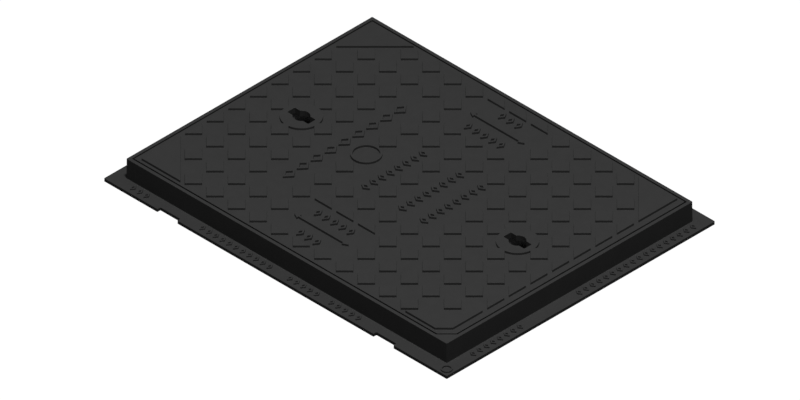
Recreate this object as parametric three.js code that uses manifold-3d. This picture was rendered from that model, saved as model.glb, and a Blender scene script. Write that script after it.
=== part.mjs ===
// Rectangular access cover in its frame: two iron castings, a seal ring and two keyway cups.
// Millimetres, +Z up. Origin: centre of the frame's underside. +X runs along the long side.
import * as THREE from 'three';
import { mergeVertices } from 'three/addons/utils/BufferGeometryUtils.js';
import Module from 'manifold-3d';

const wasm = await Module();
wasm.setup();

// ---- Driving dimensions: frame ----
const OPENING_LENGTH = 600; // clear opening along X
const OPENING_WIDTH = 450; // clear opening along Y
const FRAME_DEPTH = 39.5; // underside of the flange to the rim
const FLANGE_THICKNESS = 5.5;
const FLANGE_PROJECTION = 22.5; // flange beyond the rim's outer edge
const WALL_THICKNESS = 5.5; // at the rim
const WALL_DRAFT = 0.2; // how much wider the wall stands at the flange, each side
const CHANNEL_WIDTH = 13; // between the wall and the inner lip
const LIP_THICKNESS = 4;
const LIP_HEIGHT = 6.5; // above the flange
const NOTCH_LENGTH = 40;
const NOTCH_DEPTH = 6;

// ---- Driving dimensions: cover ----
const COVER_GAP = 2.5; // between the plate's edge and the wall
const CORNER_CHAMFER = 20; // leg of the one cut corner, which fixes how the cover goes in
const PLATE_THICKNESS = 6;
const SKIRT_INSET = 1.5; // skirt behind the plate's edge
const SKIRT_THICKNESS = 5;
const RIB_THICKNESS = 5;
const RIB_CLEARANCE = 2; // ribs and cups above the frame's lip

// ---- Driving dimensions: tread pattern ----
const TREAD_PITCH = 43.5;
const TREAD_HALF_DIAGONAL = 17.5;
const TREAD_HEIGHT = 3.6;
const TREAD_MARGIN = 4; // least flat strip between the pattern and the plate's edge
const CORNER_PANEL_CHAMFER = 18;

// ---- Driving dimensions: key slots, collars and cups ----
const KEY_SLOT_LENGTH = 42;
const KEY_SLOT_WIDTH = 15;
const KEY_HOLE_RADIUS = 12.75;
const KEY_BOSS_RADIUS = 31;
const KEY_COLUMN_FROM_EDGE = 2; // each key slot takes the place of a tread in this column
const CUP_INNER_RADIUS = 24;
const CUP_WALL = 2.2;
const CUP_FLOOR = 2;
const COLLAR_WALL = 4.5;
const COLLAR_HEIGHT = 9;
const COLLAR_TO_RIB = 41.5;

// ---- Driving dimensions: raised marks ----
const BAND_MARK_LENGTH = 25;
const BAND_MARK_WIDTH = 21;
const ROW_MARK_LENGTH = 18;
const ROW_MARK_WIDTH = 11.5;
const MARK_STROKE = 3.2;
const ROW_STROKE = 2.6;
const BAND_COUNT = 9;
const BAND_SPACE = 3;
const ROW_STEP = 16.5;
const ROW_COUNT = 8;
const PANEL_ROW_COUNTS = { inner: 5, outer: 3 };
// Where the marks stand, in steps of the tread lattice, and how far the treads are left out there.
const BAND_COLUMN = -3;
const BAND_REACH = 3;
const RING_COLUMN = -2;
const ROW_COLUMNS = [-1, 1, 2];
const FIRST_ROW_SHIFT = 0.3;
const ROW_REACH = 1;
const PANEL_REACH = 1;
const MARK_RING_RADIUS = 23;
const ARROW_LENGTH = 110;
const ARROW_WIDTH = 10;
const ARROW_SHAFT = 3.2;
const ARROW_OUTWARD = 3; // from the tread row it replaces, towards the plate's edge
const ARROW_TO_ROW = 26; // from the arrow to the mark rows on both sides of it
const FLANGE_MARK_LENGTH = 13;
const FLANGE_MARK_WIDTH = 9;
const FLANGE_MARK_STEP = 13.5;
const FLANGE_MARK_HEIGHT = 2.5;
const FLANGE_RING_RADIUS = 9;
// Mark rows on the flange: place as a share of the rim's half length, and how many marks.
const FLANGE_ROWS_X = [[-0.88, 3], [-0.28, 11], [0.14, 5], [0.4, 5]];
const FLANGE_ROWS_Y = [[-0.64, 8], [0.25, 9], [0.74, 9]];

// ---- Driving dimensions: seal ----
const SEAL_THICKNESS = 3;
const SEAL_SIDE_GAP = 1;

// ---- Clearance and modelling values ----
const TOUCH_GAP = 0.3; // between pieces that rest on each other
const ROOT = 1; // how far a raised feature is sunk into the body it stands on
const ROUND_SEGMENTS = 40;
const DIAGONAL_OFFSET = 2 - Math.SQRT2; // change of a chamfer's leg for each unit of offset

// ---- Sizes that follow ----
const frameInner = {
  x: OPENING_LENGTH / 2 + LIP_THICKNESS + CHANNEL_WIDTH,
  y: OPENING_WIDTH / 2 + LIP_THICKNESS + CHANNEL_WIDTH,
  chamfer: CORNER_CHAMFER + DIAGONAL_OFFSET * COVER_GAP,
};
const rimOuter = { x: frameInner.x + WALL_THICKNESS, y: frameInner.y + WALL_THICKNESS };
const flangeOuter = { x: rimOuter.x + FLANGE_PROJECTION, y: rimOuter.y + FLANGE_PROJECTION };
const plateEdge = inset(frameInner, COVER_GAP);
const lipTop = FLANGE_THICKNESS + LIP_HEIGHT;
const plateBottom = FRAME_DEPTH - PLATE_THICKNESS;
const treadTop = FRAME_DEPTH + TREAD_HEIGHT;
const ribBottom = lipTop + RIB_CLEARANCE;
const sealBottom = FLANGE_THICKNESS + TOUCH_GAP;
const skirtBottom = sealBottom + SEAL_THICKNESS + TOUCH_GAP;
const columns = Math.floor((plateEdge.x - TREAD_MARGIN) / TREAD_PITCH);
const rows = Math.floor((plateEdge.y - TREAD_MARGIN - TREAD_HALF_DIAGONAL) / TREAD_PITCH);
const patternX = columns * TREAD_PITCH;
const patternY = rows * TREAD_PITCH + TREAD_HALF_DIAGONAL;
const cornerLine = (columns + rows - 1) * TREAD_PITCH - TREAD_HALF_DIAGONAL;
const keyColumn = columns - KEY_COLUMN_FROM_EDGE;
const keyX = keyColumn * TREAD_PITCH;
const cupOuter = CUP_INNER_RADIUS + CUP_WALL;
const collarInner = cupOuter + TOUCH_GAP;
const collarOuter = collarInner + COLLAR_WALL;

// ---- Solids ----

// A closed three.js geometry as a solid that can be joined and cut.
function solid(geometry) {
  const bare = geometry.clone();
  bare.deleteAttribute('normal');
  bare.deleteAttribute('uv');
  const merged = mergeVertices(bare, 1e-4);
  return new wasm.Manifold(new wasm.Mesh({
    numProp: 3,
    vertProperties: new Float32Array(merged.attributes.position.array),
    triVerts: new Uint32Array(merged.index.array),
  }));
}

function joined(pieces) {
  return pieces.reduce((body, piece) => body.add(piece));
}

function geometryOf(body) {
  const { numProp, vertProperties, triVerts } = body.getMesh();
  const points = new Float32Array((vertProperties.length / numProp) * 3);
  for (let i = 0; i < points.length / 3; i++) {
    for (let axis = 0; axis < 3; axis++) {
      points[3 * i + axis] = vertProperties[numProp * i + axis];
    }
  }
  const geometry = new THREE.BufferGeometry();
  geometry.setAttribute('position', new THREE.BufferAttribute(points, 3));
  geometry.setIndex(Array.from(triVerts));
  geometry.computeVertexNormals();
  return geometry;
}

// An upright block between two heights, from a flat shape.
function block(shape, bottom, top) {
  const geometry = new THREE.ExtrudeGeometry(shape, {
    depth: top - bottom,
    bevelEnabled: false,
    curveSegments: ROUND_SEGMENTS / 2,
  });
  geometry.translate(0, 0, bottom);
  return solid(geometry);
}

// A straight rib, centred on (x, y).
function bar(x, y, lengthX, lengthY, bottom, top) {
  const geometry = new THREE.BoxGeometry(lengthX, lengthY, top - bottom);
  geometry.translate(x, y, (bottom + top) / 2);
  return solid(geometry);
}

function post(x, y, radius, bottom, top) {
  const geometry = new THREE.CylinderGeometry(radius, radius, top - bottom, ROUND_SEGMENTS);
  geometry.rotateX(Math.PI / 2);
  geometry.translate(x, y, (bottom + top) / 2);
  return solid(geometry);
}

// A rectangular block whose sides lean out towards its foot.
function draftedBlock(halfX, halfY, draft, bottom, top) {
  const geometry = new THREE.BoxGeometry(2 * halfX, 2 * halfY, top - bottom);
  const points = geometry.attributes.position;
  for (let i = 0; i < points.count; i++) {
    if (points.getZ(i) < 0) {
      points.setX(i, points.getX(i) + draft * Math.sign(points.getX(i)));
      points.setY(i, points.getY(i) + draft * Math.sign(points.getY(i)));
    }
  }
  geometry.translate(0, 0, (bottom + top) / 2);
  return solid(geometry);
}

// ---- Flat shapes ----

// The cut-cornered rectangle, moved in by a distance on every side.
function inset(edge, distance) {
  return {
    x: edge.x - distance,
    y: edge.y - distance,
    chamfer: edge.chamfer - DIAGONAL_OFFSET * distance,
  };
}

function polygon(points) {
  return new THREE.Shape(points.map(([x, y]) => new THREE.Vector2(x, y)));
}

// A rectangle with its +X, -Y corner cut off.
function cutCorner({ x, y, chamfer }) {
  return polygon([[x, y], [-x, y], [-x, -y], [x - chamfer, -y], [x, -y + chamfer]]);
}

function cutCornerRing(outer, width) {
  const shape = cutCorner(outer);
  shape.holes.push(cutCorner(inset(outer, width)));
  return shape;
}

// A square standing on its corner; keep names the half that is left at a cut pattern edge.
function lozenge(x, y, halfX, halfY, keep = 'all') {
  const corners = {
    right: [x + halfX, y],
    top: [x, y + halfY],
    left: [x - halfX, y],
    bottom: [x, y - halfY],
  };
  const opposite = { right: 'left', left: 'right', top: 'bottom', bottom: 'top' };
  const kept = Object.keys(corners).filter((name) => name !== opposite[keep]);
  return polygon(kept.map((name) => corners[name]));
}

function hollowLozenge(x, y, halfX, halfY, stroke) {
  const shape = lozenge(x, y, halfX, halfY);
  const share = 1 - (stroke * Math.hypot(halfX, halfY)) / (halfX * halfY);
  shape.holes.push(lozenge(x, y, halfX * share, halfY * share));
  return shape;
}

function ringShape(x, y, radius, stroke) {
  const shape = new THREE.Shape();
  shape.absarc(x, y, radius, 0, 2 * Math.PI);
  shape.holes.push(new THREE.Path().absarc(x, y, radius - stroke, 0, 2 * Math.PI));
  return shape;
}

// Evenly spaced places, centred on one.
function spread(centre, count, step) {
  return Array.from({ length: count }, (_, i) => centre + (i - (count - 1) / 2) * step);
}

// ---- Frame ----

function flangeShape() {
  const { x, y } = flangeOuter;
  const near = keyX - NOTCH_LENGTH / 2;
  const far = keyX + NOTCH_LENGTH / 2;
  const side = [[x, y], [far, y], [far, y - NOTCH_DEPTH], [near, y - NOTCH_DEPTH], [near, y],
    [-near, y], [-near, y - NOTCH_DEPTH], [-far, y - NOTCH_DEPTH], [-far, y], [-x, y]];
  const otherSide = side.map(([px, py]) => [-px, -py]);
  return polygon([...side, ...otherSide]);
}

// Small raised lozenges on the flange: rows along the -Y side and along the +X side.
function flangeMarks() {
  const halfLength = FLANGE_MARK_LENGTH / 2;
  const halfWidth = FLANGE_MARK_WIDTH / 2;
  const sideY = -(rimOuter.y + WALL_DRAFT + flangeOuter.y) / 2;
  const sideX = (rimOuter.x + WALL_DRAFT + flangeOuter.x) / 2;
  const shapes = [
    ...FLANGE_ROWS_X.flatMap(([share, count]) => spread(share * rimOuter.x, count, FLANGE_MARK_STEP)
      .map((x) => lozenge(x, sideY, halfWidth, halfLength))),
    ...FLANGE_ROWS_Y.flatMap(([share, count]) => spread(share * rimOuter.y, count, FLANGE_MARK_STEP)
      .map((y) => lozenge(sideX, y, halfLength, halfWidth))),
    ringShape(sideX, sideY, FLANGE_RING_RADIUS, MARK_STROKE),
  ];
  return shapes.map((shape) => block(shape, FLANGE_THICKNESS - ROOT, FLANGE_THICKNESS + FLANGE_MARK_HEIGHT));
}

function frameBody() {
  const lipOuter = inset(frameInner, CHANNEL_WIDTH);
  const opening = inset(lipOuter, LIP_THICKNESS);
  const flange = block(flangeShape(), 0, FLANGE_THICKNESS);
  const wall = draftedBlock(rimOuter.x, rimOuter.y, WALL_DRAFT, ROOT, FRAME_DEPTH)
    .subtract(block(cutCorner(frameInner), 0, FRAME_DEPTH + ROOT));
  const lip = block(cutCornerRing(lipOuter, LIP_THICKNESS), ROOT, lipTop);
  const shell = flange.subtract(block(cutCorner(opening), -ROOT, FRAME_DEPTH)).add(wall).add(lip);
  return joined([shell, ...flangeMarks()]);
}

// ---- Cover ----

// Places on the tread lattice that are left free for the marks.
function isCleared(column, row) {
  const band = column === BAND_COLUMN && Math.abs(row) <= BAND_REACH;
  const ring = column === RING_COLUMN && row === 0;
  const markRows = ROW_COLUMNS.includes(column) && Math.abs(row) <= ROW_REACH;
  const panels = Math.abs(column) <= PANEL_REACH && Math.abs(row) === rows - 1;
  const keys = Math.abs(column) === keyColumn && row === 0;
  return band || ring || markRows || panels || keys;
}

// Which part of a tread is left: treads are halved at the pattern's ends and round the arrow panels.
function keptPart(column, row) {
  if (column === columns) return 'left';
  if (column === -columns) return 'right';
  const besidePanel = Math.abs(column) <= PANEL_REACH && [rows, rows - 2].includes(Math.abs(row));
  if (!besidePanel) return 'all';
  const outward = Math.abs(row) === rows;
  return (row > 0) === outward ? 'top' : 'bottom';
}

function treadShapes() {
  const shapes = [];
  for (let column = -columns; column <= columns; column++) {
    for (let row = -rows; row <= rows; row++) {
      const reach = (Math.abs(column) + Math.abs(row)) * TREAD_PITCH + TREAD_HALF_DIAGONAL;
      if (reach < cornerLine && !isCleared(column, row)) {
        const centre = [column * TREAD_PITCH, row * TREAD_PITCH];
        shapes.push(lozenge(...centre, TREAD_HALF_DIAGONAL, TREAD_HALF_DIAGONAL, keptPart(column, row)));
      }
    }
  }
  return shapes;
}

// Flat raised panels in the four corners; the one at the cut corner is cut too.
function cornerPanels() {
  const leg = patternX + patternY - cornerLine;
  const panels = [];
  for (const sx of [-1, 1]) {
    for (const sy of [-1, 1]) {
      const inner = [[sx * (patternX - leg), sy * patternY], [sx * patternX, sy * (patternY - leg)]];
      const cut = sx > 0 && sy < 0;
      const corner = cut
        ? [[patternX, -patternY + CORNER_PANEL_CHAMFER], [patternX - CORNER_PANEL_CHAMFER, -patternY]]
        : [[sx * patternX, sy * patternY]];
      panels.push(polygon([...inner, ...corner]));
    }
  }
  return panels;
}

// A double-headed arrow along X.
function arrow(y) {
  const end = ARROW_LENGTH / 2;
  const neck = end - ARROW_WIDTH;
  const half = ARROW_WIDTH / 2;
  const shaft = ARROW_SHAFT / 2;
  return polygon([[-end, y], [-neck, y - half], [-neck, y - shaft], [neck, y - shaft], [neck, y - half],
    [end, y], [neck, y + half], [neck, y + shaft], [-neck, y + shaft], [-neck, y + half]]);
}

// Straight rows of hollow lozenges, centred on (x, y).
function markRowAlongX(x, y, count, step) {
  return spread(x, count, step)
    .map((place) => hollowLozenge(place, y, ROW_MARK_WIDTH / 2, ROW_MARK_LENGTH / 2, ROW_STROKE));
}

function markRowAlongY(x, y, count, step) {
  return spread(y, count, step)
    .map((place) => hollowLozenge(x, place, ROW_MARK_LENGTH / 2, ROW_MARK_WIDTH / 2, ROW_STROKE));
}

function markShapes() {
  const band = spread(0, BAND_COUNT, BAND_MARK_LENGTH + BAND_SPACE)
    .map((y) => hollowLozenge(
      BAND_COLUMN * TREAD_PITCH,
      y,
      BAND_MARK_WIDTH / 2,
      BAND_MARK_LENGTH / 2,
      MARK_STROKE,
    ));
  const shapes = [...band, ringShape(RING_COLUMN * TREAD_PITCH, 0, MARK_RING_RADIUS, MARK_STROKE)];
  for (const column of ROW_COLUMNS) {
    const place = column < 0 ? column + FIRST_ROW_SHIFT : column;
    shapes.push(...markRowAlongY(place * TREAD_PITCH, 0, ROW_COUNT, ROW_STEP));
  }
  for (const side of [-1, 1]) {
    const panelY = side * ((rows - 1) * TREAD_PITCH + ARROW_OUTWARD);
    shapes.push(arrow(panelY));
    shapes.push(...markRowAlongX(0, panelY - side * ARROW_TO_ROW, PANEL_ROW_COUNTS.inner, ROW_STEP));
    shapes.push(...markRowAlongX(0, panelY + side * ARROW_TO_ROW, PANEL_ROW_COUNTS.outer, ROW_STEP));
  }
  return shapes;
}

function keySlot(x) {
  const slot = bar(x, 0, KEY_SLOT_LENGTH, KEY_SLOT_WIDTH, plateBottom - ROOT, treadTop + ROOT);
  return slot.add(post(x, 0, KEY_HOLE_RADIUS, plateBottom - ROOT, treadTop + ROOT));
}

function collar(x) {
  const bottom = plateBottom - COLLAR_HEIGHT;
  return post(x, 0, collarOuter, bottom, plateBottom + ROOT)
    .subtract(post(x, 0, collarInner, bottom - ROOT, plateBottom));
}

function ribs() {
  const reachX = plateEdge.x - SKIRT_INSET - SKIRT_THICKNESS / 2;
  const reachY = plateEdge.y - SKIRT_INSET - SKIRT_THICKNESS / 2;
  const outerRib = keyX - collarOuter - COLLAR_TO_RIB;
  const top = plateBottom + ROOT;
  return [
    ...[-outerRib, 0, outerRib].map((x) => bar(x, 0, RIB_THICKNESS, 2 * reachY, ribBottom, top)),
    ...[-1, 1].map((side) => bar(0, side * reachY / 3, 2 * reachX, RIB_THICKNESS, ribBottom, top)),
  ];
}

function coverBody() {
  const plate = block(cutCorner(plateEdge), plateBottom, FRAME_DEPTH);
  const skirtRing = cutCornerRing(inset(plateEdge, SKIRT_INSET), SKIRT_THICKNESS);
  const skirt = block(skirtRing, skirtBottom, plateBottom + ROOT);
  const raised = [...treadShapes(), ...cornerPanels(), ...markShapes()]
    .map((shape) => block(shape, FRAME_DEPTH - ROOT, treadTop));
  const bosses = [-keyX, keyX].map((x) => post(x, 0, KEY_BOSS_RADIUS, FRAME_DEPTH - ROOT, treadTop));
  const collars = [-keyX, keyX].map(collar);
  return joined([plate, skirt, ...raised, ...bosses, ...collars, ...ribs()])
    .subtract(keySlot(-keyX))
    .subtract(keySlot(keyX));
}

// ---- Seal and cups ----

function sealBody() {
  const outer = inset(frameInner, SEAL_SIDE_GAP);
  const ring = cutCornerRing(outer, CHANNEL_WIDTH - 2 * SEAL_SIDE_GAP);
  return block(ring, sealBottom, sealBottom + SEAL_THICKNESS);
}

// A round cup, open at the top, on the Z axis with its rim at the plate's underside.
function cupGeometry() {
  const top = plateBottom - TOUCH_GAP;
  const profile = [[0, ribBottom], [cupOuter, ribBottom], [cupOuter, top], [CUP_INNER_RADIUS, top],
    [CUP_INNER_RADIUS, ribBottom + CUP_FLOOR], [0, ribBottom + CUP_FLOOR]];
  const geometry = new THREE.LatheGeometry(profile.map(([r, z]) => new THREE.Vector2(r, z)), ROUND_SEGMENTS);
  return geometry.rotateX(Math.PI / 2);
}

// ---- Materials ----
const frameIron = new THREE.MeshStandardMaterial({ color: 0x2e2e2e, roughness: 0.75, metalness: 0.3 });
const coverIron = new THREE.MeshStandardMaterial({ color: 0x333333, roughness: 0.7, metalness: 0.3 });
const sealRubber = new THREE.MeshStandardMaterial({ color: 0x141414, roughness: 0.9, metalness: 0 });
const cupPlastic = new THREE.MeshStandardMaterial({ color: 0x1a1a1a, roughness: 0.6, metalness: 0 });

// ---- Assembly ----
const assembly = new THREE.Group();

function addPiece(name, geometry, material, x = 0) {
  const mesh = new THREE.Mesh(geometry, material);
  mesh.name = name;
  mesh.position.x = x;
  assembly.add(mesh);
}

addPiece('frame', geometryOf(frameBody()), frameIron);
addPiece('cover', geometryOf(coverBody()), coverIron);
addPiece('seal_ring', geometryOf(sealBody()), sealRubber);
addPiece('keyway_cup_left', cupGeometry(), cupPlastic, -keyX);
addPiece('keyway_cup_right', cupGeometry(), cupPlastic, keyX);

export default assembly;
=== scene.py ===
"""Rectangular access cover in its frame: cast iron frame and cover, seal ring and keyway cups.

Laid out as an add-on and run as a script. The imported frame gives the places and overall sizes,
and the settings below give the rest. Lengths are in metres.
"""

import math

import bmesh
import bpy
from bpy.props import (
    FloatProperty,
    FloatVectorProperty,
    IntProperty,
    PointerProperty,
)
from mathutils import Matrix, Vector
from mathutils.geometry import delaunay_2d_cdt


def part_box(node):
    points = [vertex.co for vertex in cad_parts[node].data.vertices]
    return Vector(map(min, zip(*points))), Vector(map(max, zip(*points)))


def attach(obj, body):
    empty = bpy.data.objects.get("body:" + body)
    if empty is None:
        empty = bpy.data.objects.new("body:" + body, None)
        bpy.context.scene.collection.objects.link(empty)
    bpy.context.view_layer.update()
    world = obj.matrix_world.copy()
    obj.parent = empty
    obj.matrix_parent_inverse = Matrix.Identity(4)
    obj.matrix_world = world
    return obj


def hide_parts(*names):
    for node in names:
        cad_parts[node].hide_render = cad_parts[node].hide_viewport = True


bl_info = {
    "name": "Access Cover",
    "version": (1, 0, 0),
    "blender": (4, 5, 0),
    "location": "3D View > Sidebar > Access Cover",
    "description": "Builds a cast iron access cover, its frame, seal and keyway cups",
    "category": "Add Mesh",
}

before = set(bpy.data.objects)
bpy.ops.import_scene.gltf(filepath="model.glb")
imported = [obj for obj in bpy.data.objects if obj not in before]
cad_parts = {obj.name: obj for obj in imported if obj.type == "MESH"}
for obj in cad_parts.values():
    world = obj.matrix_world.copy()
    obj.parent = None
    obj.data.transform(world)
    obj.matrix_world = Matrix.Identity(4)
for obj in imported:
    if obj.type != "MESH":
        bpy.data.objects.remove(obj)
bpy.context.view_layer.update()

MM = 0.001
FRAME_LOW, FRAME_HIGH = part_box("frame")
COVER_LOW, COVER_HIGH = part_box("cover")
SEAL_LOW, SEAL_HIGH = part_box("seal_ring")
CUP_NAMES = ("keyway_cup_left", "keyway_cup_right")
CUP_BOXES = [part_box(name) for name in CUP_NAMES]
KEY_PLACES = [(low.x + high.x) / 2 for low, high in CUP_BOXES]
KEY_X = max(KEY_PLACES)
RIM_Z = FRAME_HIGH.z

# How finely outlines and roundings are drawn
CIRCLE_STEPS = 96
ROUND_STEPS = 3
LARGE_ROUND_STEPS = 6
LARGE_ROUND = 1.5 * MM  # from this radius on, a corner in plan gets the larger number of steps
LEAST_ROUND = 0.2 * MM  # smallest radius of a rounded corner in plan
LEG_SHRINK = 2 - math.sqrt(2)  # how a corner cut's leg changes for each unit of inset
HEM = 0.08 * MM  # strip kept beside a rounding, so that flats and long straights shade flat
LEAST_STRAIGHT = 4 * HEM  # a shorter straight gets no hems
LONG_SIDE = 40 * MM  # beyond this length, a side of an outline gets hems too
SHARP_ANGLE = math.radians(50)
FILL_INSIDE = 1  # the triangulation's mode that keeps only the faces inside its outlines
FILL_TOLERANCE = 1e-8

# Roundings of the corners in plan, and how far a steep face leans over its height
FRAME_CORNER = 1 * MM
SEAT_CORNER = 1.5 * MM
POCKET_CORNER = 4 * MM
SLOT_CORNER = 1.4 * MM
ARROW_CORNER = 0.5 * MM
MARK_CORNER = 0.8 * MM
MARK_LEAN = 0.2 * MM
MARK_EDGE = 0.1 * MM
SKIRT_LEAN = 0.4 * MM
SKIRT_FILLET = 0.3 * MM
POCKET_LEAN = 0.4 * MM

# Rows of marks: place as a share of the rim's half length and number of marks on the flange,
# and number of marks and direction from the arrow on the cover
FLANGE_ROWS_X = ((-0.88, 3), (-0.28, 11), (0.14, 5), (0.4, 5))
FLANGE_ROWS_Y = ((-0.64, 8), (0.25, 9), (0.74, 9))
ARROW_ROWS = ((5, -1), (3, 1))

# Materials and stage
GRAIN_DETAIL = 3
GRAIN_FINENESS = 0.6
SWIRL_DETAIL = 2
ROUGHNESS_SPREAD = 0.12
TONE_SHARES = (("A", 0.9), ("B", 1.1))
WHITE = (1, 1, 1, 1)
BLACK = (0, 0, 0, 1)
FLOOR_GREY = (0.3, 0.3, 0.3, 1)
FLOOR_SEGMENTS = 8
FLOOR_DROP = 0.05 * MM
DOME_SEGMENTS = 48
CAMERA_DISTANCE = 3


def length(name, description, default):
    """A length that a user can change."""
    return FloatProperty(
        name=name, description=description, default=default, unit="LENGTH", min=0
    )


def colour(name, description, *default):
    """A colour that a user can change."""
    return FloatVectorProperty(
        name=name, description=description, subtype="COLOR", default=default, min=0, max=1
    )


# ---- Settings ----


class FrameSizes(bpy.types.PropertyGroup):
    """Sizes of the frame casting."""

    flange_thickness: length("Flange thickness", "Base flange", 5.5 * MM)
    flange_projection: length("Flange projection", "Flange beyond the rim", 22.5 * MM)
    wall_thickness: length("Wall thickness", "Upright wall at the rim", 5.5 * MM)
    wall_draft: length("Wall draft", "How much wider the wall is at its foot", 0.2 * MM)
    wall_fillet: length("Wall fillet", "Fillet between wall and flange", 0.5 * MM)
    channel_width: length("Channel width", "Between the wall and the lip", 13 * MM)
    lip_thickness: length("Lip thickness", "Lip round the clear opening", 4 * MM)
    lip_height: length("Lip height", "Lip above the flange", 6.5 * MM)
    notch_length: length("Notch length", "Keying notch in the flange", 40 * MM)
    notch_depth: length("Notch depth", "Keying notch in the flange", 6 * MM)
    cover_gap: length("Cover gap", "Between the cover and the wall", 2.5 * MM)
    corner_cut: length("Corner cut", "Leg of the cover's one cut corner", 20 * MM)
    edge_round: length("Edge round", "Rounding of the cast edges", 0.2 * MM)


class CoverSizes(bpy.types.PropertyGroup):
    """Sizes of the cover casting."""

    plate_thickness: length("Plate thickness", "Plate under the treads", 6 * MM)
    tread_pitch: length("Tread pitch", "Lattice step", 43.5 * MM)
    tread_half: length("Tread half diagonal", "From centre to corner", 17.5 * MM)
    corner_round: length("Corner round", "Rounding of a tread's corners in plan", 0.3 * MM)
    tread_round: length("Tread rounding", "Rounding of a tread's top edges", 0.1 * MM)
    tread_lean: length("Tread lean", "How much wider a tread is at its foot", 0.26 * MM)
    tread_margin: length("Tread margin", "Least flat strip at the plate's edge", 4 * MM)
    panel_cut: length("Panel cut", "Leg of the cut corner panel", 18 * MM)
    skirt_inset: length("Skirt inset", "Skirt behind the plate's edge", 1.5 * MM)
    skirt_thickness: length("Skirt thickness", "Skirt round the edge", 5 * MM)
    skirt_foot: length("Skirt foot", "Thinner foot that meets the seal", 3.5 * MM)
    rib_thickness: length("Rib thickness", "Ribs under the plate", 5 * MM)
    rib_clearance: length("Rib clearance", "Ribs above the frame's lip", 2 * MM)
    collar_wall: length("Collar wall", "Collars that hold the cups", 4.5 * MM)
    cup_gap: length("Cup gap", "Between a cup and its collar", 0.3 * MM)
    collar_height: length("Collar height", "Collars under the plate", 9 * MM)
    collar_to_rib: length("Collar to rib", "Free width beside a collar", 41.5 * MM)
    boss_radius: length("Boss radius", "Raised disc round a key slot", 31 * MM)
    slot_length: length("Slot length", "Key slot", 42 * MM)
    slot_width: length("Slot width", "Key slot", 15 * MM)
    hole_radius: length("Hole radius", "Round middle of the key slot", 12.75 * MM)


class MarkSizes(bpy.types.PropertyGroup):
    """Sizes of the plain marks that stand where a foundry would put its lettering."""

    stroke: length("Stroke", "Line width of the large marks", 3.2 * MM)
    row_stroke: length("Row stroke", "Line width of the small marks", 2.6 * MM)
    band_length: length("Band mark length", "Along the band", 25 * MM)
    band_width: length("Band mark width", "Across the band", 21 * MM)
    band_space: length("Band space", "Between the band's marks", 3 * MM)
    band_count: IntProperty(name="Band marks", description="Marks in the band", default=9)
    row_length: length("Row mark length", "Across the row", 18 * MM)
    row_width: length("Row mark width", "Along the row", 11.5 * MM)
    row_step: length("Row step", "From mark to mark", 16.5 * MM)
    row_count: IntProperty(name="Row marks", description="Marks in a row", default=8)
    ring_radius: length("Ring radius", "Ring mark on the cover", 23 * MM)
    arrow_length: length("Arrow length", "Double-headed arrow", 110 * MM)
    arrow_width: length("Arrow head width", "Double-headed arrow", 10 * MM)
    arrow_shaft: length("Arrow shaft", "Width of the arrow's shaft", 3.2 * MM)
    arrow_outward: length("Arrow outward", "From the tread row to the arrow", 3 * MM)
    arrow_to_row: length("Arrow to row", "From the arrow to its mark rows", 26 * MM)
    flange_length: length("Flange mark length", "Across the row", 13 * MM)
    flange_width: length("Flange mark width", "Along the row", 9 * MM)
    flange_step: length("Flange mark step", "From mark to mark", 13.5 * MM)
    flange_height: length("Flange mark height", "Above the flange", 2.5 * MM)
    flange_stroke: length("Flange mark stroke", "Line width of the flange marks", 2 * MM)
    flange_ring: length("Flange ring radius", "Ring at the flange's corner", 8.6 * MM)


class Finishes(bpy.types.PropertyGroup):
    """Colours and roughness of the materials."""

    iron: colour("Iron", "Bitumen-coated cast iron", 0.0295, 0.0295, 0.0295)
    iron_roughness: FloatProperty(
        name="Iron roughness",
        description="Mean roughness of the coated casting",
        default=0.62,
        min=0,
        max=1,
        subtype="FACTOR",
    )
    rubber: colour("Rubber", "Seal ring", 0.012, 0.012, 0.012)
    plastic: colour("Plastic", "Keyway cups", 0.12, 0.12, 0.122)


class StageSettings(bpy.types.PropertyGroup):
    """Floor, light and camera."""

    azimuth: FloatProperty(
        name="Azimuth",
        description="Camera's turn round the object",
        default=math.radians(45),
        subtype="ANGLE",
    )
    elevation: FloatProperty(
        name="Elevation",
        description="Camera above the horizon",
        default=math.atan(1 / math.sqrt(2)),
        subtype="ANGLE",
    )
    view_width: length("View width", "Width that the parallel view takes in", 1138.8 * MM)
    target_left: length("Target left", "View centre left of the origin", 13.5 * MM)
    target_up: length("Target up", "View centre above the origin", 4 * MM)
    floor_size: length("Floor size", "Side of the pale floor", 24)
    key_place: FloatVectorProperty(
        name="Key place",
        description="Middle of the overhead soft light",
        subtype="TRANSLATION",
        default=(1.72, -1.02, 9),
    )
    key_size: length("Key size", "Width of the overhead soft light", 1.2)
    key_power: FloatProperty(
        name="Key power", description="Overhead soft light", default=685, unit="POWER"
    )
    sky: FloatProperty(name="Sky", description="Even surrounding light", default=0.056)
    floor_glow: FloatProperty(
        name="Floor glow", description="Light of the floor itself, for a white ground", default=0.78
    )


class AccessCoverSettings(bpy.types.PropertyGroup):
    """All settings of the access cover."""

    frame_sizes: PointerProperty(type=FrameSizes)
    cover: PointerProperty(type=CoverSizes)
    marks: PointerProperty(type=MarkSizes)
    finishes: PointerProperty(type=Finishes)
    stage: PointerProperty(type=StageSettings)


def settings(context):
    return context.scene.access_cover


# ---- Outlines: closed lists of corners (x, y, radius), anticlockwise ----


def soft(points, radius):
    """Points as corners, all with one radius."""
    return [(x, y, radius) for x, y in points]


def circle(x, y, radius, steps=CIRCLE_STEPS):
    """A circle as corners without a rounding."""
    turns = [2 * math.pi * i / steps for i in range(steps)]
    return [(x + radius * math.cos(turn), y + radius * math.sin(turn), 0) for turn in turns]


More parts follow.
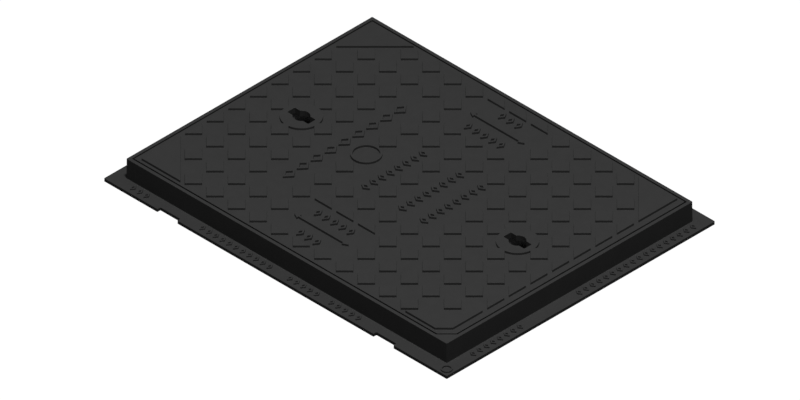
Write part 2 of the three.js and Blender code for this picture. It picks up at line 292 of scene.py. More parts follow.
def box_corners(low_x, high_x, low_y, high_y, leg=0):
    """A rectangle, with its +X, -Y corner cut off if it has a leg."""
    points = [(high_x, high_y), (low_x, high_y), (low_x, low_y)]
    if leg:
        return points + [(high_x - leg, low_y), (high_x, low_y + leg)]
    return points + [(high_x, low_y)]


def lozenge(x, y, half_x, half_y, keep="all"):
    """A square on its corner, or the half of it that keep names."""
    corners = {
        "right": (x + half_x, y),
        "top": (x, y + half_y),
        "left": (x - half_x, y),
        "bottom": (x, y - half_y),
    }
    opposite = {"right": "left", "left": "right", "top": "bottom", "bottom": "top"}
    return [corners[name] for name in corners if name != opposite.get(keep)]


def spread(centre, count, step):
    """Evenly spaced places, centred on one."""
    return [centre + (i - (count - 1) / 2) * step for i in range(count)]


def arc(before, corner, after, radius, steps):
    """Points that round off a corner."""
    back = (before - corner).normalized()
    on = (after - corner).normalized()
    half = back.angle(on) / 2
    centre = corner + (back + on).normalized() * (radius / math.sin(half))
    first = corner + back * (radius / math.tan(half)) - centre
    last = corner + on * (radius / math.tan(half)) - centre
    turn = math.pi - 2 * half
    shares = [step / steps for step in range(steps + 1)]
    return [
        centre + (first * math.sin((1 - t) * turn) + last * math.sin(t * turn)) / math.sin(turn)
        for t in shares
    ]


def hems(before, after):
    """Points close to the roundings at a straight's ends, so that the straight shades flat."""
    along = after[0] - before[-1]
    if along.length < LEAST_STRAIGHT:
        return []
    step = along.normalized() * HEM
    return [before[-1] + step] * (len(before) > 1) + [after[0] - step] * (len(after) > 1)


def bend(*corners):
    """A profile of (outset, height) points. A corner with a third number is rounded by it."""
    places = [Vector(corner[:2]) for corner in corners]
    turns = []
    for i, corner in enumerate(corners):
        if len(corner) == 3:
            turns.append(arc(places[i - 1], places[i], places[i + 1], corner[2], ROUND_STEPS))
        else:
            turns.append([places[i]])
    points = turns[0]
    for before, after in zip(turns, turns[1:]):
        points = points + hems(before, after) + after
    return points


def parallel(corners, outset):
    """The points of an outline moved outwards, with its corners' roundings kept parallel."""
    count = len(corners)
    places = [Vector(corner[:2]) for corner in corners]
    moved, bulges = [], []
    for i, here in enumerate(places):
        before = (here - places[i - 1]).normalized()
        after = (places[(i + 1) % count] - here).normalized()
        first, second = Vector((before.y, -before.x)), Vector((after.y, -after.x))
        moved.append(here + (first + second) * (outset / (1 + first.dot(second))))
        bulges.append(before.cross(after) > 0)
    turns = []
    for i, (x, y, radius) in enumerate(corners):
        if not radius:
            turns.append([moved[i]])
            continue
        steps = ROUND_STEPS if radius < LARGE_ROUND else LARGE_ROUND_STEPS
        kept = max(radius + (outset if bulges[i] else -outset), LEAST_ROUND)
        turns.append(arc(moved[i - 1], moved[i], moved[(i + 1) % count], kept, steps))
    points = []
    for i, turn in enumerate(turns):
        following = (i + 1) % count
        points += turn
        if (places[following] - places[i]).length > LONG_SIDE:
            points += hems(turn, turns[following])
    return points


# ---- Surfaces ----


class Skin:
    """One closed surface, made of walls that follow outlines and of flats between them."""

    def __init__(self):
        self.mesh = bmesh.new()

    def wall(self, corners, profile):
        """Sweeps a profile of (outset, height) round an outline. Gives its first and last ring."""
        rings = []
        for outset, height in profile:
            points = parallel(corners, outset)
            rings.append([self.mesh.verts.new((*point, height)) for point in points])
        for lower, upper in zip(rings, rings[1:]):
            self.join(lower, upper)
        return rings[0], rings[-1]

    def hoop(self, corners, section):
        """Sweeps a closed section round an outline."""
        first, last = self.wall(corners, section)
        self.join(last, first)

    def join(self, lower, upper):
        """Fills the band between two rings of as many points."""
        for i in range(len(lower)):
            self.mesh.faces.new((lower[i - 1], lower[i], upper[i], upper[i - 1]))

    def flat(self, outer, *holes):
        """Fills a level ring, but for the holes in it."""
        rings = [outer, *holes]
        verts = [vert for ring in rings for vert in ring]
        places, start = [], 0
        for ring in rings:
            places.append(list(range(start, start + len(ring))))
            start += len(ring)
        points = [vert.co.xy for vert in verts]
        _, _, faces, sources, _, owners = delaunay_2d_cdt(
            points, [], places, FILL_INSIDE, FILL_TOLERANCE
        )
        for face, owner in zip(faces, owners):
            if owner == [0]:
                self.mesh.faces.new([verts[sources[corner][0]] for corner in face])

    def piece(self, name):
        """The Blender object, checked and turned outwards."""
        open_edges = sum(not edge.is_manifold for edge in self.mesh.edges)
        if open_edges or any(not vert.link_faces for vert in self.mesh.verts):
            raise RuntimeError(f"{name} is not closed: {open_edges} open edges")
        bmesh.ops.recalc_face_normals(self.mesh, faces=self.mesh.faces)
        return link_mesh(name, self.mesh)


def link_mesh(name, mesh):
    """A smooth-shaded object with this mesh, in the scene."""
    data = bpy.data.meshes.new(name)
    mesh.to_mesh(data)
    mesh.free()
    data.shade_smooth()
    data.set_sharp_from_angle(angle=SHARP_ANGLE)
    piece = bpy.data.objects.new(name, data)
    bpy.context.scene.collection.objects.link(piece)
    return piece


def place_piece(piece, material, body, nodes):
    """Gives the piece its material and its place in the frame."""
    piece.data.materials.append(material)
    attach(piece, body)
    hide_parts(*nodes)


# ---- Materials ----


class Nodes:
    """Short calls to build a material's nodes."""

    def __init__(self, name):
        self.material = bpy.data.materials.new(name)
        self.material.use_nodes = True
        self.tree = self.material.node_tree
        self.shader = self.tree.nodes["Principled BSDF"]

    def add(self, kind, **values):
        """A node with these properties or input values, an input's name having _ for a space."""
        node = self.tree.nodes.new(kind)
        for key, value in values.items():
            if hasattr(node, key):
                setattr(node, key, value)
            else:
                node.inputs[key.replace("_", " ")].default_value = value
        return node

    def link(self, source, target):
        self.tree.links.new(source, target)

    def noise(self, place, scale, detail, roughness=0.5):
        """The output of a noise that is fixed to the object."""
        node = self.add("ShaderNodeTexNoise", Scale=scale, Detail=detail, Roughness=roughness)
        self.link(place.outputs["Object"], node.inputs["Vector"])
        return node.outputs["Fac"]

    def span(self, value, low, high):
        """Maps 0..1 to low..high."""
        node = self.add("ShaderNodeMapRange")
        node.inputs["To Min"].default_value = low
        node.inputs["To Max"].default_value = high
        self.link(value, node.inputs["Value"])
        return node.outputs["Result"]


def grained_material(
    name, base, roughness, *, grain_scale, grain_depth, swirl_scale, swirl_depth
):
    """A matt surface with a fine grain, broad unevenness and slight changes of tone."""
    nodes = Nodes(name)
    place = nodes.add("ShaderNodeTexCoord")
    grain = nodes.noise(place, grain_scale, GRAIN_DETAIL, GRAIN_FINENESS)
    swirl = nodes.noise(place, swirl_scale, SWIRL_DETAIL)
    tone = nodes.add("ShaderNodeMix", data_type="RGBA")
    nodes.link(swirl, tone.inputs["Factor"])
    for letter, share in TONE_SHARES:
        socket = next(s for s in tone.inputs if s.name == letter and s.type == "RGBA")
        socket.default_value = (*[part * share for part in base], 1)
    out = next(s for s in tone.outputs if s.type == "RGBA")
    nodes.link(out, nodes.shader.inputs["Base Color"])
    rough = nodes.span(grain, roughness - ROUGHNESS_SPREAD, roughness + ROUGHNESS_SPREAD)
    nodes.link(rough, nodes.shader.inputs["Roughness"])
    broad = nodes.add("ShaderNodeBump", Strength=1.0, Distance=swirl_depth)
    nodes.link(swirl, broad.inputs["Height"])
    fine = nodes.add("ShaderNodeBump", Strength=1.0, Distance=grain_depth)
    nodes.link(grain, fine.inputs["Height"])
    nodes.link(broad.outputs["Normal"], fine.inputs["Normal"])
    nodes.link(fine.outputs["Normal"], nodes.shader.inputs["Normal"])
    return nodes.material


def cast_iron(finishes):
    """The one material of both castings."""
    found = bpy.data.materials.get("coated_cast_iron")
    return found or grained_material(
        "coated_cast_iron",
        finishes.iron,
        finishes.iron_roughness,
        grain_scale=600,
        grain_depth=0.12 * MM,
        swirl_scale=60,
        swirl_depth=0.05 * MM,
    )


# ---- Stage ----


class ACCESSCOVER_OT_stage(bpy.types.Operator):
    """Sets up the pale floor, the soft light and the parallel camera"""

    bl_idname = "access_cover.stage"
    bl_label = "Stage"

    def execute(self, context):
        stage = settings(context).stage
        self.add_camera(context, stage)
        self.add_floor(stage)
        self.add_backdrop(stage)
        self.add_key_light(context, stage)
        self.add_world(context, stage)
        context.scene.view_settings.view_transform = "Standard"
        return {"FINISHED"}

    def add_camera(self, context, stage):
        data = bpy.data.cameras.new("camera")
        data.type = "ORTHO"
        data.ortho_scale = stage.view_width
        a, e = stage.azimuth, stage.elevation
        back = Vector((math.sin(a) * math.cos(e), -math.cos(a) * math.cos(e), math.sin(e)))
        right = Vector((math.cos(a), math.sin(a), 0))
        camera = bpy.data.objects.new("camera", data)
        camera.location = (
            back * CAMERA_DISTANCE
            - right * stage.target_left
            + back.cross(right) * stage.target_up
        )
        camera.rotation_mode = "QUATERNION"
        camera.rotation_quaternion = (-back).to_track_quat("-Z", "Y")
        context.scene.collection.objects.link(camera)
        context.scene.camera = camera

    def add_key_light(self, context, stage):
        data = bpy.data.lights.new("key_light", "AREA")
        data.shape = "DISK"
        data.size = stage.key_size
        data.energy = stage.key_power
        light = bpy.data.objects.new("key_light", data)
        light.location = stage.key_place
        light.rotation_mode = "QUATERNION"
        light.rotation_quaternion = (-Vector(stage.key_place)).to_track_quat("-Z", "Y")
        context.scene.collection.objects.link(light)

    def add_world(self, context, stage):
        world = bpy.data.worlds.new("even_light")
        world.use_nodes = True
        shine = world.node_tree.nodes["Background"]
        shine.inputs["Color"].default_value = WHITE
        shine.inputs["Strength"].default_value = stage.sky
        context.scene.world = world

    def add_floor(self, stage):
        """A pale floor that the object doesn't see, so that it adds no light from below."""
        mesh = bmesh.new()
        bmesh.ops.create_grid(
            mesh,
            x_segments=FLOOR_SEGMENTS,
            y_segments=FLOOR_SEGMENTS,
            size=stage.floor_size / 2,
        )
        floor = link_mesh("floor", mesh)
        floor.location.z = FRAME_LOW.z - FLOOR_DROP
        floor.visible_diffuse = False
        floor.visible_glossy = False
        nodes = Nodes("pale_floor")
        nodes.shader.inputs["Base Color"].default_value = FLOOR_GREY
        nodes.shader.inputs["Roughness"].default_value = 1
        nodes.shader.inputs["Specular IOR Level"].default_value = 0
        nodes.shader.inputs["Emission Color"].default_value = WHITE
        nodes.shader.inputs["Emission Strength"].default_value = stage.floor_glow
        floor.data.materials.append(nodes.material)

    def add_backdrop(self, stage):
        """A pale dome that only the camera sees, so that low views have a pale background too."""
        mesh = bmesh.new()
        bmesh.ops.create_uvsphere(
            mesh,
            u_segments=DOME_SEGMENTS,
            v_segments=DOME_SEGMENTS // 2,
            radius=stage.floor_size / 2,
        )
        dome = link_mesh("backdrop", mesh)
        for ray in ("diffuse", "glossy", "transmission", "shadow", "volume_scatter"):
            setattr(dome, f"visible_{ray}", False)
        nodes = Nodes("pale_backdrop")
        nodes.shader.inputs["Base Color"].default_value = BLACK
        nodes.shader.inputs["Specular IOR Level"].default_value = 0
        nodes.shader.inputs["Emission Color"].default_value = WHITE
        nodes.shader.inputs["Emission Strength"].default_value = 1
        dome.data.materials.append(nodes.material)


# ---- Frame casting ----


def seat_outline(sizes, inset=0.0):
    """The cut-cornered outline of the wall's inner face, moved in by an inset."""
    wall = sizes.flange_projection + sizes.wall_thickness
    x, y = FRAME_HIGH.x - wall - inset, FRAME_HIGH.y - wall - inset
    leg = sizes.corner_cut + LEG_SHRINK * (sizes.cover_gap - inset)
    return soft(box_corners(-x, x, -y, y, leg), SEAT_CORNER)


def raised_line(skin, corners, floor, top, stroke):
    """A raised line round an outline. Gives the ring of its outer foot."""
    lean, edge = MARK_LEAN, MARK_EDGE
    profile = bend(
        (lean / 2 + edge + HEM, floor),
        (lean / 2, floor, edge),
        (-lean / 2, top, edge),
        (lean / 2 - stroke, top, edge),
        (-lean / 2 - stroke, floor, edge),
        (-lean / 2 - stroke - edge - HEM, floor),
    )
    foot, inner = skin.wall(corners, profile)
    skin.flat(inner)
    return foot


class ACCESSCOVER_OT_frame(bpy.types.Operator):
    """Builds the frame casting: flange, wall, seal channel and lip"""

    bl_idname = "access_cover.frame"
    bl_label = "Frame casting"

    def execute(self, context):
        everything = settings(context)
        sizes = everything.frame_sizes
        skin = Skin()
        floor, rim, edge = sizes.flange_thickness, RIM_Z, sizes.edge_round
        base, flange_edge = skin.wall(self.flange_corners(sizes), self.flange_profile(sizes))
        foot, rim_outside = skin.wall(self.wall_corners(sizes), self.wall_profile(sizes))
        seat = bend(
            (edge + HEM, rim),
            (0, rim, edge),
            (0, floor, edge),
            (-edge - HEM, floor),
        )
        rim_inside, channel_outside = skin.wall(seat_outline(sizes), seat)
        lip = seat_outline(sizes, sizes.channel_width)
        channel_inside, opening = skin.wall(lip, self.lip_profile(sizes))
        skin.flat(flange_edge, foot, *self.marks(skin, sizes, everything.marks))
        skin.flat(rim_outside, rim_inside)
        skin.flat(channel_outside, channel_inside)
        skin.flat(base, opening)
        iron = cast_iron(everything.finishes)
        place_piece(skin.piece("frame_casting"), iron, "frame", ["frame"])
        return {"FINISHED"}

    def flange_corners(self, sizes):
        """A rectangle with two keying notches in each long side."""
        x, y = FRAME_HIGH.x, FRAME_HIGH.y
        near, far = KEY_X - sizes.notch_length / 2, KEY_X + sizes.notch_length / 2
        low = y - sizes.notch_depth
        side = [(x, y), (far, y), (far, low), (near, low), (near, y)]
        side += [(-near, y), (-near, low), (-far, low), (-far, y), (-x, y)]
        return soft(side + [(-px, -py) for px, py in side], FRAME_CORNER)

    def flange_profile(self, sizes):
        top, edge = sizes.flange_thickness, sizes.edge_round
        return bend((-edge - HEM, 0), (0, 0, edge), (0, top, edge), (-edge - HEM, top))

    def wall_corners(self, sizes):
        x = FRAME_HIGH.x - sizes.flange_projection
        y = FRAME_HIGH.y - sizes.flange_projection
        return soft(box_corners(-x, x, -y, y), FRAME_CORNER)

    def wall_profile(self, sizes):
        foot, draft = sizes.flange_thickness, sizes.wall_draft
        fillet, edge = sizes.wall_fillet, sizes.edge_round
        return bend(
            (draft + fillet + HEM, foot),
            (draft, foot, fillet),
            (0, RIM_Z, edge),
            (-edge - HEM, RIM_Z),
        )

    def lip_profile(self, sizes):
        """Up the lip from the channel, over it and down the clear opening."""
        floor, edge, inner = sizes.flange_thickness, sizes.edge_round, -sizes.lip_thickness
        top = floor + sizes.lip_height
        return bend(
            (edge + HEM, floor),
            (0, floor, edge),
            (0, top, edge),
            (inner, top, edge),
            (inner, 0, edge),
            (inner + edge + HEM, 0),
        )

    def marks(self, skin, sizes, marks):
        """Rows of plain hollow lozenges on two sides of the flange and a ring at its corner."""
        free = sizes.flange_projection - sizes.wall_draft
        side_x = FRAME_HIGH.x - free / 2
        side_y = FRAME_LOW.y + free / 2
        rim_x = FRAME_HIGH.x - sizes.flange_projection
        rim_y = FRAME_HIGH.y - sizes.flange_projection
        long, wide = marks.flange_length / 2, marks.flange_width / 2
        outlines = [circle(side_x, side_y, marks.flange_ring, CIRCLE_STEPS // 2)]
        for share, count in FLANGE_ROWS_X:
            for x in spread(share * rim_x, count, marks.flange_step):
                outlines.append(soft(lozenge(x, side_y, wide, long), MARK_CORNER))
        for share, count in FLANGE_ROWS_Y:
            for y in spread(share * rim_y, count, marks.flange_step):
                outlines.append(soft(lozenge(side_x, y, long, wide), MARK_CORNER))
        floor = sizes.flange_thickness
        top, stroke = floor + marks.flange_height, marks.flange_stroke
        return [raised_line(skin, corners, floor, top, stroke) for corners in outlines]


# ---- Cover casting ----


class TreadLattice:
    """Where treads stand on the cover, and which of them are left out or halved."""

    band_column, ring_column = -3, -2
    row_columns = (-1, 1, 2)
    first_row_shift = 0.3  # the first row's place beside its column, as a share of the pitch
    band_reach = 3  # rows that the band clears on either side of the middle
    mark_reach = 1  # rows or columns that the other marks clear
    key_reach = 1  # steps from a key slot to the treads that its boss takes in

    def __init__(self, cover):
        self.pitch, self.half = cover.tread_pitch, cover.tread_half
        free_x = COVER_HIGH.x - cover.tread_margin
        free_y = COVER_HIGH.y - cover.tread_margin - self.half
        self.columns = math.floor(free_x / self.pitch)
        self.rows = math.floor(free_y / self.pitch)
        self.edge_x = self.columns * self.pitch
        self.edge_y = self.rows * self.pitch + self.half
        self.corner_line = (self.columns + self.rows - 1) * self.pitch - self.half
        self.key_column = round(KEY_X / self.pitch)

    def cleared(self, column, row):
        """Whether marks, an arrow or a key slot stand here instead of a tread."""
        band = column == self.band_column and abs(row) <= self.band_reach
        ring = column == self.ring_column and row == 0
        rows = column in self.row_columns and abs(row) <= self.mark_reach
        arrows = abs(column) <= self.mark_reach and abs(row) == self.rows - 1
        keys = abs(abs(column) - self.key_column) + abs(row) <= self.key_reach
        return band or ring or rows or arrows or keys

    def kept_part(self, column, row):
        """The corner whose half of the tread stays, at the ends and beside the arrows."""
        if abs(column) == self.columns:
            return "left" if column > 0 else "right"
        if abs(column) > self.mark_reach or abs(row) not in (self.rows, self.rows - 2):
            return "all"
        return "top" if (row > 0) == (abs(row) == self.rows) else "bottom"

    def arrow_places(self, marks):
        """The side of each arrow and its place along Y."""
        outward = (self.rows - 1) * self.pitch + marks.arrow_outward
        return [(side, side * outward) for side in (-1, 1)]

    def treads(self):
        """The outlines of the treads that stand alone."""
        for column in range(-self.columns, self.columns + 1):
            for row in range(-self.rows, self.rows + 1):
                reach = (abs(column) + abs(row)) * self.pitch + self.half
                if reach < self.corner_line and not self.cleared(column, row):
                    x, y = column * self.pitch, row * self.pitch
                    yield lozenge(x, y, self.half, self.half, self.kept_part(column, row))

    def boss(self, x, radius, round_off):
        """A disc with the four treads that it runs into."""
        near = self.pitch - self.half
        if radius <= near:
            raise RuntimeError("A key slot's boss has to reach the treads beside it")
        along = near / 2 + math.sqrt(radius**2 / 2 - near**2 / 4)
        half_turn = math.acos(along / radius)
        tread = [
            (along, near - along, LEAST_ROUND),
            (self.pitch, -self.half, round_off),
            (self.pitch + self.half, 0, round_off),
            (self.pitch, self.half, round_off),
            (along, along - near, LEAST_ROUND),
        ]
        steps = CIRCLE_STEPS // 4
        sweep = math.pi / 2 - 2 * half_turn
        turns = [half_turn + sweep * i / steps for i in range(1, steps)]
        quadrant = tread + [(radius * math.cos(t), radius * math.sin(t), 0) for t in turns]
        corners = []
        for _ in range(4):
            corners += quadrant
            quadrant = [(-py, px, r) for px, py, r in quadrant]
        return [(x + px, py, r) for px, py, r in corners]

    def corner_panels(self, cut):
        """The triangles that fill the lattice's corners, one of them cut off."""
        leg = self.edge_x + self.edge_y - self.corner_line
        x, y = self.edge_x, self.edge_y
        yield [(x, y), (x - leg, y), (x, y - leg)]
        yield [(-x, y), (-x, y - leg), (-x + leg, y)]
        yield [(-x, -y), (-x + leg, -y), (-x, -y + leg)]
        yield [(x, -y + cut), (x, -y + leg), (x - leg, -y), (x - cut, -y)]


def arrow(marks, y):
    """A double-headed arrow along X."""
    end, half, shaft = marks.arrow_length / 2, marks.arrow_width / 2, marks.arrow_shaft / 2
    neck = end - marks.arrow_width
    upper = [(end, 0), (neck, half), (neck, shaft), (-neck, shaft), (-neck, half)]
    return [(px, y + py) for px, py in upper + [(-px, -py) for px, py in upper]]


def key_corners(x, cover):
    """A slot along X with a round middle."""
    end, half, radius = cover.slot_length / 2, cover.slot_width / 2, cover.hole_radius
    start = math.asin(half / radius)
    steps = CIRCLE_STEPS // 3
    turns = [start + (math.pi - 2 * start) * i / steps for i in range(steps + 1)]
    middle = [(radius * math.cos(turn), radius * math.sin(turn), 0) for turn in turns]
    upper = [(end, half, SLOT_CORNER), *middle, (-end, half, SLOT_CORNER)]
    return [(x + px, py, r) for px, py, r in upper + [(-px, -py, r) for px, py, r in upper]]


class ACCESSCOVER_OT_cover(bpy.types.Operator):
    """Builds the cover casting: plate, treads, marks, skirt, ribs, collars and key slots"""

    bl_idname = "access_cover.cover"
    bl_label = "Cover casting"

    def execute(self, context):
        everything = settings(context)
        sizes, cover, marks = everything.frame_sizes, everything.cover, everything.marks
        skin = Skin()
        outline = seat_outline(sizes, sizes.cover_gap)
        top, rib_level = skin.wall(outline, self.side_profile(sizes, cover))
        key_tops, key_bottoms = self.key_slots(skin, cover)
        feet = self.treads(skin, cover, marks) + self.marks(skin, cover, marks)
        skin.flat(top, *feet, *self.bosses(skin, cover, key_tops))
        collars = self.collars(skin, cover, key_bottoms)
        skin.flat(rib_level, *self.pockets(skin, sizes, cover, collars))
        iron = cast_iron(everything.finishes)
        place_piece(skin.piece("cover_casting"), iron, "cover", ["cover"])
        return {"FINISHED"}

    def side_profile(self, sizes, cover):
        """From the plate's top over its edge, down the skirt and up behind it to the ribs."""
        edge, under = sizes.edge_round, RIM_Z - cover.plate_thickness
        skirt, foot = -cover.skirt_inset, COVER_LOW.z
        inside, rib_level = skirt - cover.skirt_foot, self.rib_level(sizes, cover)
        return bend(
            (-edge - HEM, RIM_Z),
            (0, RIM_Z, edge),
            (0, under, edge),
            (skirt, under, edge / 2),
            (skirt - SKIRT_LEAN, foot, edge),
            (inside + SKIRT_LEAN, foot, edge),
            (inside, rib_level, SKIRT_FILLET),
            (inside - SKIRT_FILLET - HEM, rib_level),
        )

    def rib_level(self, sizes, cover):
        """The height of the ribs' lower faces."""
        return sizes.flange_thickness + sizes.lip_height + cover.rib_clearance

    def raised_profile(self, cover):
        """From a small fillet at the foot up a steep side and over a rounded edge."""
        edge, top, lean = cover.tread_round, COVER_HIGH.z, cover.tread_lean / 2
        return bend(
            (lean + edge + HEM, RIM_Z),
            (lean, RIM_Z, edge),
            (-lean, top, edge),
            (-lean - edge - HEM, top),
        )

    def treads(self, skin, cover, marks):
        """Treads, corner panels and arrows. Gives the rings of their feet."""
        lattice = TreadLattice(cover)
        outlines = [soft(points, cover.corner_round) for points in lattice.treads()]
        panels = lattice.corner_panels(cover.panel_cut)
        outlines += [soft(points, cover.corner_round) for points in panels]
        for _, y in lattice.arrow_places(marks):
            outlines.append(soft(arrow(marks, y), ARROW_CORNER))
        feet = []
        for corners in outlines:
            foot, top = skin.wall(corners, self.raised_profile(cover))
            skin.flat(top)
            feet.append(foot)
        return feet

    def bosses(self, skin, cover, key_tops):
        """Raised discs round the key slots. Gives the rings of their feet."""
        feet, lattice = [], TreadLattice(cover)
        for x, key_top in zip(KEY_PLACES, key_tops):
            corners = lattice.boss(x, cover.boss_radius, cover.corner_round)
            foot, top = skin.wall(corners, self.raised_profile(cover))
            skin.flat(top, key_top)
            feet.append(foot)
        return feet

    def marks(self, skin, cover, marks):
        """Hollow lozenges in a band and in rows, and a ring. Gives the rings of their feet."""
        lattice = TreadLattice(cover)
        ring_x = lattice.ring_column * lattice.pitch
        large = [circle(ring_x, 0, marks.ring_radius)]
        for y in spread(0, marks.band_count, marks.band_length + marks.band_space):
            x = lattice.band_column * lattice.pitch
            half_x, half_y = marks.band_width / 2, marks.band_length / 2
            large.append(soft(lozenge(x, y, half_x, half_y), MARK_CORNER))
        long, wide = marks.row_length / 2, marks.row_width / 2
        small = []
        for column in lattice.row_columns:
            x = (column + lattice.first_row_shift * (column < 0)) * lattice.pitch
            for y in spread(0, marks.row_count, marks.row_step):
                small.append(soft(lozenge(x, y, long, wide), MARK_CORNER))
        for side, arrow_y in lattice.arrow_places(marks):
            for count, outward in ARROW_ROWS:
                y = arrow_y + side * outward * marks.arrow_to_row
                for x in spread(0, count, marks.row_step):
                    small.append(soft(lozenge(x, y, wide, long), MARK_CORNER))
        feet = []
        for outlines, stroke in ((large, marks.stroke), (small, marks.row_stroke)):
            for corners in outlines:
                feet.append(raised_line(skin, corners, RIM_Z, COVER_HIGH.z, stroke))
        return feet

    def pockets(self, skin, sizes, cover, collars):
        """The pockets between the ribs. Gives the rings of their mouths."""
        under, level = RIM_Z - cover.plate_thickness, self.rib_level(sizes, cover)
        inset = cover.skirt_inset + cover.skirt_thickness
        end_x, end_y = COVER_HIGH.x - inset, COVER_HIGH.y - inset
        half, edge, fillet = cover.rib_thickness / 2, 0.5 * MM, 2 * MM
        collar = self.collar_radius(cover, CUP_BOXES[0])
        rib_x = KEY_X - collar - cover.collar_to_rib
        rib_y = (end_y + cover.skirt_thickness / 2) / 3
        edges_x = (-end_x - half, -rib_x, 0, rib_x, end_x + half)
        edges_y = (-end_y - half, -rib_y, rib_y, end_y + half)
        profile = bend(
            (edge + HEM, level),
            (0, level, edge),
            (-POCKET_LEAN, under, fillet),
            (-POCKET_LEAN - fillet - HEM, under),
        )
        mouths = []
        for low_x, high_x in zip(edges_x, edges_x[1:]):
            for low_y, high_y in zip(edges_y, edges_y[1:]):
                at_cut = high_x > end_x and low_y < -end_y
                leg = (sizes.corner_cut - LEG_SHRINK * inset) if at_cut else 0
                points = box_corners(
                    low_x + half, high_x - half, low_y + half, high_y - half, leg
                )
                mouth, floor = skin.wall(soft(points, POCKET_CORNER), profile)
                in_row = low_y < 0 < high_y
                feet = [foot for x, foot in collars.items() if in_row and low_x < x < high_x]
                skin.flat(floor, *feet)
                mouths.append(mouth)
        return mouths

    def collar_radius(self, cover, box):
        """The outer radius of the collar round a cup."""
        return (box[1].x - box[0].x) / 2 + cover.cup_gap + cover.collar_wall

    def collars(self, skin, cover, key_bottoms):
        """Sockets for the cups, open below. Gives the rings of their outer feet by place."""
        under = RIM_Z - cover.plate_thickness
        mouth, wall = under - cover.collar_height, cover.collar_wall
        edge, fillet = 0.7 * MM, 1.5 * MM
        profile = bend(
            (fillet + HEM, under),
            (0, under, fillet),
            (0, mouth, edge),
            (-wall, mouth, edge),
            (-wall, under, edge),
            (-wall - edge - HEM, under),
        )
        feet = {}
        for x, box, key_bottom in zip(KEY_PLACES, CUP_BOXES, key_bottoms):
            foot, inner = skin.wall(circle(x, 0, self.collar_radius(cover, box)), profile)
            skin.flat(inner, key_bottom)
            feet[x] = foot
        return feet

    def key_slots(self, skin, cover):
        """The walls of the key slots. Gives the rings of their upper and lower edges."""
        edge, under = 0.2 * MM, RIM_Z - cover.plate_thickness
        profile = bend(
            (edge + HEM, COVER_HIGH.z),
            (0, COVER_HIGH.z, edge),
            (0, under, edge),
            (edge + HEM, under),
        )
        return zip(*[skin.wall(key_corners(x, cover), profile) for x in KEY_PLACES])


# ---- Seal and cups ----


class ACCESSCOVER_OT_seal(bpy.types.Operator):
    """Builds the rubber seal ring in the frame's channel"""

    bl_idname = "access_cover.seal"
    bl_label = "Seal ring"

    def execute(self, context):
        everything = settings(context)
        sizes = everything.frame_sizes
        wall = sizes.flange_projection + sizes.wall_thickness
        gap = FRAME_HIGH.x - wall - SEAL_HIGH.x
        skin = Skin()
        skin.hoop(seat_outline(sizes, gap), self.section(sizes.channel_width - 2 * gap))
        rubber = grained_material(
            "moulded_rubber",
            everything.finishes.rubber,
            roughness=0.75,
            grain_scale=1500,
            grain_depth=0.01 * MM,
            swirl_scale=90,
            swirl_depth=0.05 * MM,
        )
        place_piece(skin.piece("rubber_seal"), rubber, "frame", ["seal_ring"])
        return {"FINISHED"}

    def section(self, width):
        """A flat strip with three sealing ridges along its top."""
        low, high = SEAL_LOW.z, SEAL_HIGH.z
        edge, crest, ridges = 0.6 * MM, 0.8 * MM, 3
        valley_round, crown_round = 0.3 * MM, 0.5 * MM
        corners = [(-width / 2, low), (0, low, edge), (0, high - crest, edge / 2)]
        for middle in spread(-width / 2, ridges, (width - 2 * edge) / ridges):
            foot = (width - 2 * edge) / ridges / 2 - HEM
            corners += [
                (middle + foot, high - crest, valley_round),
                (middle, high, crown_round),
                (middle - foot, high - crest, valley_round),
            ]
        corners += [(-width, high - crest, edge / 2), (-width, low, edge)]
        return bend(*corners, (-width / 2 - HEM, low))


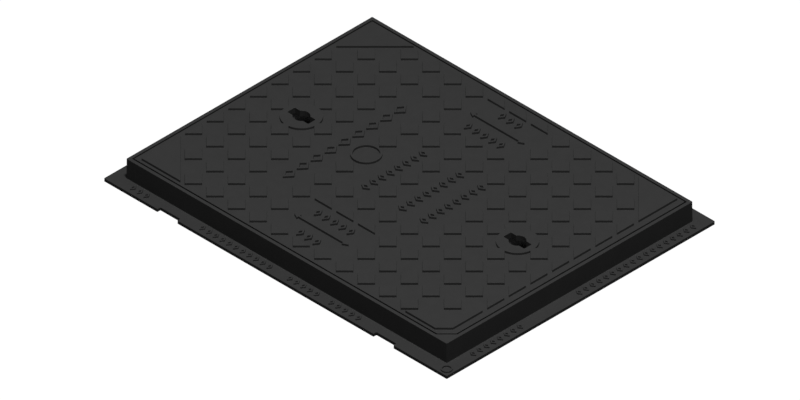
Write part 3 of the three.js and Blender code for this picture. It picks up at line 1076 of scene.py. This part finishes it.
class ACCESSCOVER_OT_cups(bpy.types.Operator):
    """Builds the two moulded cups that close the key slots underneath"""

    bl_idname = "access_cover.cups"
    bl_label = "Keyway cups"
    recess_shares = (0.62, 0.58, 0.54)  # inwards from the side, as shares of the radius
    floor_share = 0.5
    bead_drops = (6.5 * MM, 3 * MM)  # below the cup's rim

    def execute(self, context):
        finishes = settings(context).finishes
        plastic = grained_material(
            "moulded_plastic",
            finishes.plastic,
            roughness=0.5,
            grain_scale=2000,
            grain_depth=0.006 * MM,
            swirl_scale=120,
            swirl_depth=0.02 * MM,
        )
        for name, x, (low, high) in zip(CUP_NAMES, KEY_PLACES, CUP_BOXES):
            skin = Skin()
            radius = (high.x - low.x) / 2
            bottom, floor = skin.wall(circle(x, 0, radius), self.profile(radius, low.z, high.z))
            skin.flat(bottom)
            skin.flat(floor)
            piece = skin.piece(f"{name}_moulding")
            place_piece(piece, plastic, "cover", [name])
        return {"FINISHED"}

    def profile(self, radius, low, high):
        """Up the outside past two gripping beads, over the rim and down to the inner floor."""
        wall, floor, bead, recess = 2.2 * MM, 2 * MM, 0.5 * MM, 0.6 * MM
        taper, slight, small = 0.4 * MM, 0.2 * MM, 0.3 * MM
        foot_round, rim_round, floor_round = 1.5 * MM, 0.5 * MM, 2 * MM
        side = -bead
        middle, slope_top, slope_foot = [-radius * share for share in self.recess_shares]
        corners = [
            (middle, low + recess),
            (slope_top, low + recess, small),
            (slope_foot, low, small),
            (side, low, foot_round),
        ]
        for drop in self.bead_drops:
            bead_z = high - drop
            corners += [
                (side, bead_z - bead, slight),
                (0, bead_z, small),
                (side, bead_z + 2 * bead, slight),
            ]
        corners += [
            (side, high, rim_round),
            (-wall, high, rim_round),
            (-wall - taper, low + floor, floor_round),
            (-radius * self.floor_share, low + floor),
        ]
        return bend(*corners)


# ---- Panel and registration ----


class ACCESSCOVER_PT_panel(bpy.types.Panel):
    """Lists the steps that build the access cover"""

    bl_label = "Access Cover"
    bl_idname = "ACCESSCOVER_PT_panel"
    bl_space_type = "VIEW_3D"
    bl_region_type = "UI"
    bl_category = "Access Cover"

    def draw(self, context):
        column = self.layout.column()
        for step in STEPS:
            column.operator(step.bl_idname)


STEPS = (
    ACCESSCOVER_OT_stage,
    ACCESSCOVER_OT_frame,
    ACCESSCOVER_OT_cover,
    ACCESSCOVER_OT_seal,
    ACCESSCOVER_OT_cups,
)
CLASSES = (
    FrameSizes,
    CoverSizes,
    MarkSizes,
    Finishes,
    StageSettings,
    AccessCoverSettings,
    *STEPS,
    ACCESSCOVER_PT_panel,
)


def register():
    for cls in CLASSES:
        bpy.utils.register_class(cls)
    bpy.types.Scene.access_cover = PointerProperty(type=AccessCoverSettings)


def unregister():
    del bpy.types.Scene.access_cover
    for cls in reversed(CLASSES):
        bpy.utils.unregister_class(cls)


def main():
    register()
    bpy.ops.access_cover.stage()
    bpy.ops.access_cover.frame()
    bpy.ops.access_cover.cover()
    bpy.ops.access_cover.seal()
    bpy.ops.access_cover.cups()


if __name__ == "__main__":
    main()
